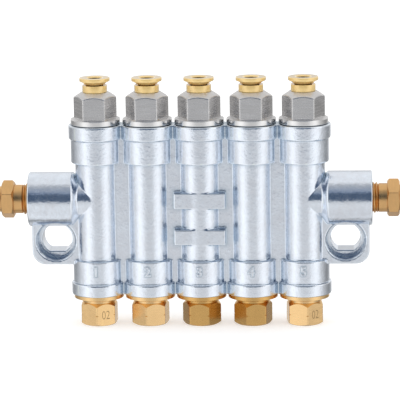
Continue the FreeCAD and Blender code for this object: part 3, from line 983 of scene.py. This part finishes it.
class DIVIDER_OT_outlets(bpy.types.Operator):
    """Builds the outlet fittings with their guide bushes and release collars"""
    bl_idname = "divider.outlets"
    bl_label = "Outlet fittings"
    socket_depth = 0.0084
    tube_depth = 0.0134
    chamfer_angle = 34
    mouth_chamfer = 0.0005
    bush_rounding = 0.00035
    collar_rounding = 0.00025
    collar_flare = 1.45

    def execute(self, context):
        size = context.scene.divider_fittings
        for number, place in zip(OUTLETS, PLACES):
            self.fitting(size, number, place)
            self.bush(size, number, place)
            self.collar(size, number, place)
        return {"FINISHED"}

    def fitting(self, size, number, place):
        low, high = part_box(f"outlet_fitting_{number}")
        casting = bpy.context.scene.divider_casting
        shank_low = BODY_HIGH.z - casting.port_depth
        band_top = BODY_HIGH.z + size.flange_band
        hex_low = band_top + size.bevel
        thread = casting.port_radius - CLEARANCE
        passage = 0.0012
        stem = 0.0026
        socket = 0.0034
        socket_floor = high.z - self.socket_depth
        tube_stop = high.z - self.tube_depth
        slope = math.tan(math.radians(self.chamfer_angle))
        rim = 0.00012
        seam = 0.0003
        seam_top = BODY_HIGH.z + 0.0002

        def foot_at(radius):
            """Height of the bevel between flange and hexagon."""
            return hex_low - (radius - size.outlet_flats / 2) * size.bevel / size.bevel_run

        def column(reach):
            shoulder = high.z - max(reach - size.outlet_face_radius, 0) * slope
            foot = foot_at(reach)
            return [
                (passage, low.z), (stem, low.z), (stem, shank_low), (thread, shank_low),
                (thread, BODY_HIGH.z), (size.flange_radius - seam, BODY_HIGH.z),
                (size.flange_radius - seam, seam_top), (size.flange_radius - rim * 0.6, seam_top),
                (size.flange_radius, seam_top + rim), (size.flange_radius, band_top - rim),
                (size.flange_radius - rim, band_top + rim * 0.5),
                (reach + rim, foot), (reach, foot + rim), (reach, foot + 3 * rim),
                (reach, shoulder - 3 * rim), (reach, shoulder - rim),
                (reach - rim * 0.3, shoulder - rim * 0.25), (reach - rim, shoulder + rim * slope * 0.9),
                (size.outlet_face_radius, high.z - rim * 0.2), (size.outlet_face_radius - rim, high.z),
                (socket, high.z), (socket, socket_floor), (size.tube_bore, socket_floor),
                (size.tube_bore, tube_stop), (passage, tube_stop),
            ]

        def finish_number(middle):
            side, flange, seam_faces, faced = range(4)
            bevel_margin, top_margin = 0.00003, 0.0002
            # The seam under the flange is painted near black, as shade
            if middle.z <= seam_top:
                return seam_faces
            if middle.z < band_top:
                return flange
            off_axis = math.hypot(middle.x - place, middle.y)
            on_bevel = middle.z < foot_at(off_axis) + bevel_margin
            on_top = middle.z > high.z - (off_axis - size.outlet_face_radius) * slope - top_margin
            return faced if on_bevel or on_top else side

        piece = hex_part(f"outlet_fitting_shell_{number}", size.outlet_flats, 0.0, OUTLET_CRISPNESS, column,
                         ("fitting_steel", "flange_steel", "seam_grime", "faced_steel"),
                         lambda point: upright(point, place), finish_number)
        settle(piece, "block", "fitting_steel", f"outlet_fitting_{number}")

    def bush(self, size, number, place):
        low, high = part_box(f"guide_bush_{number}")
        seat = 0.00335
        bore = size.collar_sleeve + CLEARANCE
        head_low = high.z - size.bush_height
        mouth = bore + 0.00087
        mouth_low = high.z - 0.0006
        outline = [
            (bore, low.z), (seat, low.z), (seat, head_low), (size.bush_radius, head_low),
            (size.bush_radius, high.z), (mouth, high.z), (bore, mouth_low),
        ]
        piece = revolved(f"guide_bush_turned_{number}", outline, ["collar_brass"],
                         lambda point: upright(point, place), self.bush_rounding)
        settle(piece, "block", "collar_brass", f"guide_bush_{number}")

    def collar(self, size, number, place):
        low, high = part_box(f"release_collar_{number}")
        rim_low = high.z - size.collar_rim
        flare = size.collar_sleeve + (rim_low - FITTING_TOP) * self.collar_flare
        outline = [
            (size.tube_bore, low.z), (size.collar_sleeve, low.z), (size.collar_sleeve, FITTING_TOP),
            (flare, rim_low), (size.collar_radius, rim_low), (size.collar_radius, high.z),
            (size.tube_bore + self.mouth_chamfer, high.z), (size.tube_bore, high.z - self.mouth_chamfer),
        ]

        # Faces in the bore and at the foot of the collar are painted dark, as shade
        def finish_number(middle):
            off_axis = math.hypot(middle.x - place, middle.y)
            return int(off_axis < size.tube_bore + BORE_MARGIN or middle.z < FITTING_TOP + 2 * BORE_MARGIN)

        piece = revolved(f"release_collar_turned_{number}", outline, ["collar_brass", "greased_bore"],
                         lambda point: upright(point, place), self.collar_rounding, finish_number)
        settle(piece, f"collar_{number}", "collar_brass", f"release_collar_{number}")


class DIVIDER_OT_metering_units(bpy.types.Operator):
    """Builds the metering units with their coned flanges and notched hexagons"""
    bl_idname = "divider.metering_units"
    bl_label = "Metering units"
    turns = (26.7, 20.4, -6.5, 12.7, -20.7)
    # Units 3 and 4 take a darker copy of the unit brass
    aged = (3, 4)
    stamped = {1: 270, 5: 330}
    stamp_size = 0.0040
    stamp_width = 0.72

    def execute(self, context):
        size = context.scene.divider_fittings
        for number, place, turn in zip(OUTLETS, PLACES, self.turns):
            self.unit(size, number, place, math.radians(turn))
        return {"FINISHED"}

    def unit(self, size, number, place, turn):
        low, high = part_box(f"metering_body_{number}")
        casting = bpy.context.scene.divider_casting
        thread = casting.port_radius - CLEARANCE
        nose = casting.chamber_radius - 2 * CLEARANCE
        shank_top = RING_BOTTOM + casting.port_depth
        band_low = RING_BOTTOM - size.unit_band
        cone_low = band_low - size.unit_cone
        hex_high = cone_low - size.unit_neck
        neck = size.unit_flats / 2
        face = neck - 0.0001
        slope = size.unit_chamfer / (neck / math.cos(math.radians(30)) - face)
        foot_slope = 0.55
        rim = 0.0001
        middle = low.z + 0.0034
        notch = 0.0060
        notch_slope = 0.7
        groove = 0.0003
        bore = 0.0030
        floor = low.z + 0.0018

        def column(reach):
            climb = max(reach - face, 0) * slope
            foot = low.z + max(reach - face, 0) * foot_slope
            sink = max(reach - notch, 0)
            return [
                (0.0, low.z), (face - rim, low.z), (face, low.z + rim * foot_slope),
                (reach, foot + rim), (reach, foot + 3 * rim),
                (reach, middle - sink * notch_slope - rim), (reach, middle - sink * notch_slope),
                (reach - sink, middle),
                (reach, middle + sink * notch_slope), (reach, middle + sink * notch_slope + rim),
                (reach, hex_high - climb - 3 * rim), (reach, hex_high - climb - rim),
                (face, hex_high - rim * slope), (face - rim, hex_high),
                (neck - groove, hex_high), (neck - groove, cone_low),
                (neck, cone_low), (size.unit_flange_radius - rim, band_low - rim * 0.5),
                (size.unit_flange_radius, band_low), (size.unit_flange_radius, RING_BOTTOM - rim),
                (size.unit_flange_radius - rim, RING_BOTTOM), (thread, RING_BOTTOM), (thread, shank_top),
                (nose, shank_top), (nose, high.z), (bore, high.z), (bore, floor), (0.0, floor),
            ]

        piece = hex_part(f"metering_unit_{number}", size.unit_flats, turn, UNIT_CRISPNESS, column,
                         ["aged_brass" if number in self.aged else "unit_brass"],
                         lambda point: upright(point, place))
        settle(piece, "block", "unit_brass", f"metering_body_{number}")
        if number in self.stamped:
            self.stamp(size, number, place, middle, turn)

    def stamp(self, size, number, place, height, turn):
        """Plain size number stamped on one face of the hexagon."""
        facing = turn + math.radians(self.stamped[number])
        out = Vector((math.cos(facing), math.sin(facing), 0))
        across = Vector((-out.y, out.x, 0))
        centre = Vector((place, 0, height))
        mesh = text_mesh(f"size_stamp_{number}", "02", self.stamp_size, 0.00002, 0.0, -0.00006)
        for vertex in mesh.vertices:
            side, up, raised = vertex.co
            vertex.co = (centre + across * side * self.stamp_width
                         + out * (size.unit_flats / 2 + raised - 0.00001) + Vector((0, 0, up)))
        settle(place_mesh(mesh, "stamp_ink"), "block", "unit_brass")


class DIVIDER_OT_inlets(bpy.types.Operator):
    """Builds the inlet fittings with their threads, and the sleeves at their ends"""
    bl_idname = "divider.inlets"
    bl_label = "Inlet fittings"
    turn = 5
    thread_root = 0.0043
    thread_crest = 0.00495
    thread_hidden = 0.0025
    thread_sharp_angle = 60.0
    sleeve_seat = 0.0039
    sleeve_rounding = 0.0003
    tube_depth = 0.0055
    corner_slope = 0.55

    def execute(self, context):
        size = context.scene.divider_fittings
        for side, word in SIDES:
            self.fitting(size, side, word)
            self.thread(size, side, word)
            self.sleeve(size, side, word)
        return {"FINISHED"}

    def fitting(self, size, side, word):
        neck_start = BOSS_REACH + size.thread_shown
        hex_start = neck_start + size.neck_length
        passage = 0.0020
        face = size.inlet_flats / 2 - 0.0001
        seat = self.sleeve_seat + CLEARANCE
        tube_stop = INLET_OUTER - self.tube_depth
        slope = self.corner_slope
        rim = 0.0001

        def column(reach):
            climb = max(reach - face, 0) * slope
            return [
                (passage, INLET_INNER), (self.thread_root, INLET_INNER), (self.thread_root, neck_start),
                (size.inlet_neck_radius - rim, neck_start), (size.inlet_neck_radius, neck_start + rim),
                (size.inlet_neck_radius, hex_start), (face - rim, hex_start), (face, hex_start + rim * slope),
                (reach, hex_start + climb + rim), (reach, hex_start + climb + 3 * rim),
                (reach, INLET_OUTER - climb - 3 * rim), (reach, INLET_OUTER - climb - rim),
                (face, INLET_OUTER - rim * slope), (face - rim, INLET_OUTER), (seat, INLET_OUTER),
                (seat, SLEEVE_INNER), (size.inlet_bore, SLEEVE_INNER), (size.inlet_bore, tube_stop),
                (passage, tube_stop),
            ]

        piece = hex_part(f"inlet_fitting_bar_{word}", size.inlet_flats, math.radians(self.turn * side),
                         INLET_CRISPNESS, column, ["inlet_brass"], lambda point: level(point, side))
        settle(piece, "block", "inlet_brass", f"inlet_fitting_{word}")

    def thread(self, size, side, word, around=72, rows_per_turn=8):
        """Helical ridge from inside the boss to the neck, which fades in and out over half a turn."""
        rise = self.thread_crest - self.thread_root
        start = BOSS_REACH - self.thread_hidden
        end = BOSS_REACH + size.thread_shown
        rows = int((end - start) / size.thread_pitch * rows_per_turn) + 1
        points = []
        for row in range(rows):
            along = start + (end - start) * row / (rows - 1)
            fade = min(1.0, (rows - 1 - row) / rows_per_turn * 2, row / rows_per_turn * 2)
            for step in range(around):
                share = step / around
                phase = (along / size.thread_pitch - share) % 1.0
                radius = self.thread_root + rise * fade * min(1.0, 1.25 * (1 - abs(2 * phase - 1)))
                angle = 2 * math.pi * share
                points.append(level((radius * math.cos(angle), radius * math.sin(angle), along), side))
        faces = ring_faces(rows, around, False)
        faces.append(tuple(range(around)))
        faces.append(tuple(range((rows - 1) * around, rows * around)))
        piece = lay_mesh(f"inlet_thread_{word}", points, faces, ["inlet_brass"], self.thread_sharp_angle)
        settle(piece, "block", "inlet_brass")

    def sleeve(self, size, side, word):
        outline = [
            (size.inlet_bore, SLEEVE_INNER), (self.sleeve_seat, SLEEVE_INNER),
            (self.sleeve_seat, INLET_OUTER), (size.sleeve_radius, INLET_OUTER),
            (size.sleeve_radius, SLEEVE_OUTER), (size.inlet_bore, SLEEVE_OUTER),
        ]

        # Faces in the bore are painted dark, as shade
        def finish_number(middle):
            return int(math.hypot(middle.y, middle.z - GALLERY_HEIGHT) < size.inlet_bore + BORE_MARGIN)

        piece = revolved(f"inlet_sleeve_turned_{word}", outline, ["inlet_brass", "greased_bore"],
                         lambda point: level(point, side), self.sleeve_rounding, finish_number)
        settle(piece, "block", "inlet_brass", f"inlet_sleeve_{word}")


class DIVIDER_OT_inner_parts(bpy.types.Operator):
    """Gives the seals, rings, valves, pistons and springs their finishes"""
    bl_idname = "divider.inner_parts"
    bl_label = "Inner parts"
    kinds = {"seal_rubber": ("tube_seal", "check_valve"),
             "inner_steel": ("grip_ring", "stop_ring", "metering_piston", "return_spring")}

    def execute(self, context):
        for finish_name, kinds in self.kinds.items():
            for kind in kinds:
                for number in OUTLETS:
                    self.dress(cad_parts[f"{kind}_{number}"], finish_name)
        for number in OUTLETS:
            self.spring(number)
        return {"FINISHED"}

    def dress(self, node, finish_name):
        node.data.materials.clear()
        node.data.materials.append(finish(finish_name))

    def spring(self, number):
        """Own copy of the spring on the unit's floor, riding on the block in place of its node."""
        name, joint_name = f"return_spring_{number}", f"piston_stroke_{number}"
        low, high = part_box(name)
        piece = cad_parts[name].copy()
        piece.name = f"return_spring_coil_{number}"
        piece.data = piece.data.copy()
        bpy.context.scene.collection.objects.link(piece)
        settle(piece, "block", "inner_steel", name)
        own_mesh(piece)


# The studio

def seen_directly(tree):
    """1 for camera, glossy and transmission rays, otherwise 0."""
    path = add_node(tree, "LightPath")
    mirrored = math_node(tree, "MAXIMUM", path.outputs["Is Glossy Ray"], path.outputs["Is Transmission Ray"])
    return math_node(tree, "MAXIMUM", path.outputs["Is Camera Ray"], mirrored)


# Strength of the soft light by degrees of azimuth from the front, below and above the table's edge
TABLE_ROUND = ((-180, 0.52), (-150, 0.48), (-125, 0.31), (-103, 0.48), (-84, 0.72), (-72, 0.82),
               (-62, 1.02), (-50, 1.20), (-36, 1.12), (-29, 0.94), (-22, 0.78), (-8, 0.65), (6, 0.64),
               (20, 0.655), (28, 0.72), (34, 0.88), (49, 1.12), (58, 1.12), (66, 1.02), (75, 0.86),
               (83, 0.66), (104, 0.44), (120, 0.28), (133, 0.32), (150, 0.44), (180, 0.52))
BOXES_ROUND = ((-180, 0.8), (-150, 0.8), (-122, 0.72), (-104, 0.62), (-92, 0.66), (-75, 0.95), (-58, 1.15),
               (-44, 0.95), (-32, 0.5), (36, 0.42), (46, 0.75), (61, 1.15), (74, 1.2), (88, 0.9), (104, 0.6),
               (122, 0.72), (150, 0.8), (180, 0.8))
BACK_ROUND = ((-180, 0.80), (-172, 0.95), (-162, 1.40), (-150, 1.15), (-140, 0.9), (140, 0.9), (150, 1.15),
              (162, 1.40), (172, 0.95), (180, 0.80))
# and by degrees of elevation, before, beside and behind the block
FRONT_DOWN = ((-90, 1.1), (-62, 1.10), (-42, 1.17), (-24, 1.22), (-11.5, 1.1), (-5, 1.1))
FRONT_UP = ((-5, 0.62), (-3, 0.12), (12, 0.12), (28, 0.11), (36, 0.34), (62, 0.45), (70, 0.62), (78, 0.90),
            (90, 1.0))
BESIDE_UP = ((-90, 0.65), (-55, 0.85), (-25, 1.0), (50, 1.0), (66, 0.82), (90, 0.85))
BACK_UP = ((-90, 0.62), (-65, 0.54), (-30, 0.56), (0, 0.72), (20, 0.82), (47, 0.92), (76, 0.90), (90, 0.95))
# Shares of the front and the back by azimuth, and of the cool tone by elevation
FRONT_SHARE = ((-36, 0), (-26, 1), (34, 1), (44, 0))
BACK_SHARE = ((140, 0), (166, 1))
COOL_SHARE = ((-5, 0), (-3, 1), (28, 1), (38, 0.45), (70, 0))
COOL = (0.66, 0.95, 1.45)
TABLE_EDGE = -4.5
BACK_BOXES_TOP = 30
BOXES_TOP = 55


def between(place, knots):
    """Value at a place on a line through the knots."""
    return float(np.interp(place, [knot[0] for knot in knots], [knot[1] for knot in knots]))


def daylight(azimuth, elevation):
    """Colour of the soft light from a direction, with a cool dark band low in front of the block."""
    beside = between(elevation, BESIDE_UP)
    front = between(elevation, FRONT_UP)
    back = between(elevation, BACK_UP)
    if elevation < TABLE_EDGE:
        beside *= between(azimuth, TABLE_ROUND)
        front = between(elevation, FRONT_DOWN) * between(azimuth, TABLE_ROUND)
    elif elevation < BOXES_TOP:
        beside *= between(azimuth, BOXES_ROUND)
    if elevation < BACK_BOXES_TOP:
        back *= between(azimuth, BACK_ROUND)
    in_front = between(azimuth, FRONT_SHARE)
    behind = between(abs(azimuth), BACK_SHARE)
    strength = beside * (1 - in_front - behind) + front * in_front + back * behind
    cool = in_front * between(elevation, COOL_SHARE)
    return [strength * (1 + cool * (channel - 1)) for channel in COOL]


def bare_material(name):
    """Material with an empty node tree, its tree and its output's surface socket."""
    made = bpy.data.materials.new(name)
    made.use_nodes = True
    made.node_tree.nodes.clear()
    return made, made.node_tree, add_node(made.node_tree, "OutputMaterial").inputs[0]


def towards(azimuth, elevation):
    """Direction from the block, in degrees from the front and from the level."""
    turn, up = math.radians(azimuth), math.radians(elevation)
    return Vector((math.cos(up) * math.sin(turn), -math.cos(up) * math.cos(turn), math.sin(up)))


def light_dome(distance):
    """Sphere of soft light round the block, seen only in reflections."""
    rises = sorted({*range(-90, 91, 6), -5, -4, -3, -1, 28, 34, 38})
    turns = list(range(-180, 181, 4))
    points = []
    light = []
    for elevation in rises:
        for azimuth in turns:
            points.append(towards(azimuth, elevation) * distance + Vector((0, 0, GALLERY_HEIGHT)))
            light.append((*daylight(azimuth, elevation), 1.0))
    row = len(turns)
    faces = [(row * r + s, row * r + s + 1, row * (r + 1) + s + 1, row * (r + 1) + s)
             for r in range(len(rises) - 1) for s in range(row - 1)]
    mesh = bpy.data.meshes.new("light_dome")
    mesh.from_pydata(points, [], faces)
    mesh.attributes.new("daylight", "FLOAT_COLOR", "POINT").data.foreach_set("color", np.ravel(light))
    made, tree, surface = bare_material("soft_light")
    made.cycles.emission_sampling = "NONE"
    stored = add_node(tree, "Attribute")
    stored.attribute_name = "daylight"
    glow = add_node(tree, "Emission")
    tree.links.new(stored.outputs["Color"], glow.inputs["Color"])
    tree.links.new(glow.outputs[0], surface)
    mesh.materials.append(made)
    dome = add_object("light_dome", mesh)
    dome.visible_camera = False
    dome.visible_shadow = False
    dome.visible_diffuse = False


class DIVIDER_OT_studio(bpy.types.Operator):
    """Sets the floor, the white surroundings, the soft light and the camera"""
    bl_idname = "divider.studio"
    bl_label = "Studio"
    dome_radius = 1.6
    floor_half = 3.0
    floor_colour = (0.82, 0.82, 0.82)
    floor_lift = 0.42
    camera_azimuth = 3.2
    camera_elevation = 11.5
    camera_roll = 0.87
    camera_distance = 0.85
    photo_width = 0.1275

    def execute(self, context):
        self.floor()
        self.surroundings()
        light_dome(self.dome_radius)
        self.camera(context)
        context.scene.view_settings.view_transform = "Standard"
        return {"FINISHED"}

    def floor(self):
        half = self.floor_half
        corners = [(-half, -half, 0), (half, -half, 0), (half, half, 0), (-half, half, 0)]
        mesh = bpy.data.meshes.new("floor")
        mesh.from_pydata(corners, [], [(0, 1, 2, 3)])
        made, tree, surface = bare_material("floor_white")
        matt = add_node(tree, "BsdfDiffuse", Color=(*self.floor_colour, 1.0))
        glow = add_node(tree, "Emission")
        added = add_node(tree, "AddShader")
        lift = math_node(tree, "MULTIPLY", seen_directly(tree), self.floor_lift)
        tree.links.new(lift, glow.inputs["Strength"])
        tree.links.new(matt.outputs[0], added.inputs[0])
        tree.links.new(glow.outputs[0], added.inputs[1])
        tree.links.new(added.outputs[0], surface)
        mesh.materials.append(made)
        floor = add_object("floor", mesh)
        floor.visible_glossy = False

    def surroundings(self):
        world = bpy.data.worlds.new("surroundings")
        bpy.context.scene.world = world
        world.use_nodes = True
        tree = world.node_tree
        tree.nodes.clear()
        sky = add_node(tree, "Background", Color=(1.0, 1.0, 1.0, 1.0), Strength=1.0)
        tree.links.new(sky.outputs[0], add_node(tree, "OutputWorld").inputs[0])

    def camera(self, context):
        target = Vector((-0.00012, 0.0, GALLERY_HEIGHT - 0.0006))
        away = towards(self.camera_azimuth, self.camera_elevation)
        lens = bpy.data.cameras.new("photo_camera")
        lens.sensor_width = 36.0
        lens.lens = lens.sensor_width * self.camera_distance / self.photo_width
        lens.clip_start = 0.01
        camera = add_object("photo_camera", lens)
        place = Matrix.Translation(target + away * self.camera_distance)
        look = (-away).to_track_quat("-Z", "Y").to_matrix().to_4x4()
        roll = Matrix.Rotation(-math.radians(self.camera_roll), 4, "Z")
        camera.matrix_world = place @ look @ roll
        context.scene.camera = camera


HOLDERS = {"divider_casting": CastingSizes, "divider_fittings": FittingSizes,
           "divider_colours": FinishColours}


class DIVIDER_PT_panel(bpy.types.Panel):
    """Lists the block's sizes, colours and pieces"""
    bl_idname = "DIVIDER_PT_panel"
    bl_label = "Divider block"
    bl_space_type = "VIEW_3D"
    bl_region_type = "UI"
    bl_category = "Divider"

    def draw(self, context):
        layout = self.layout
        for holder in HOLDERS:
            group = getattr(context.scene, holder)
            box = layout.box()
            for name in group.__annotations__:
                box.prop(group, name)
        for operator in PIECES:
            layout.operator(operator.bl_idname)


PIECES = (DIVIDER_OT_casting, DIVIDER_OT_numerals, DIVIDER_OT_outlets, DIVIDER_OT_metering_units,
          DIVIDER_OT_inlets, DIVIDER_OT_inner_parts, DIVIDER_OT_studio)
CLASSES = (*HOLDERS.values(), *PIECES, DIVIDER_PT_panel)


def register():
    for made in CLASSES:
        bpy.utils.register_class(made)
    for holder, group in HOLDERS.items():
        setattr(bpy.types.Scene, holder, PointerProperty(type=group))


def unregister():
    for holder in HOLDERS:
        delattr(bpy.types.Scene, holder)
    for made in reversed(CLASSES):
        bpy.utils.unregister_class(made)


def main():
    register()
    for operator in PIECES:
        group, name = operator.bl_idname.split(".")
        getattr(getattr(bpy.ops, group), name)()


if __name__ == "__main__":
    main()
